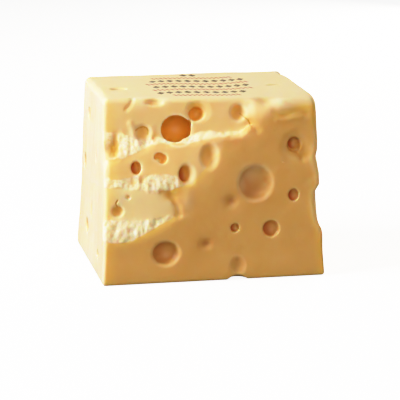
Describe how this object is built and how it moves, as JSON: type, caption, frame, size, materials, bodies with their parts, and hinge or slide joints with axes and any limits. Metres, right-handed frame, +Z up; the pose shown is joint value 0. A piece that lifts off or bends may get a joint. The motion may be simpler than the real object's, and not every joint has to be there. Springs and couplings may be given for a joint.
{
  "type": "cheese block",
  "caption": "Upright block of firm yellow cheese cut from a wheel, with round eyes in its faces and a stepped, broken corner; it rests on its base.",
  "frame": {"origin": "middle of the base, on the surface it rests on", "axes": "+X along the front's width, -Y out of the front with the broken corner, +Z up"},
  "size_m": [0.1647, 0.112, 0.128],
  "materials": {
    "cheese": "waxy, semi-matte, pale yellow cheese"
  },
  "bodies": {
    "root": {"cheese_block": "cheese"}
  },
  "joints": []
}
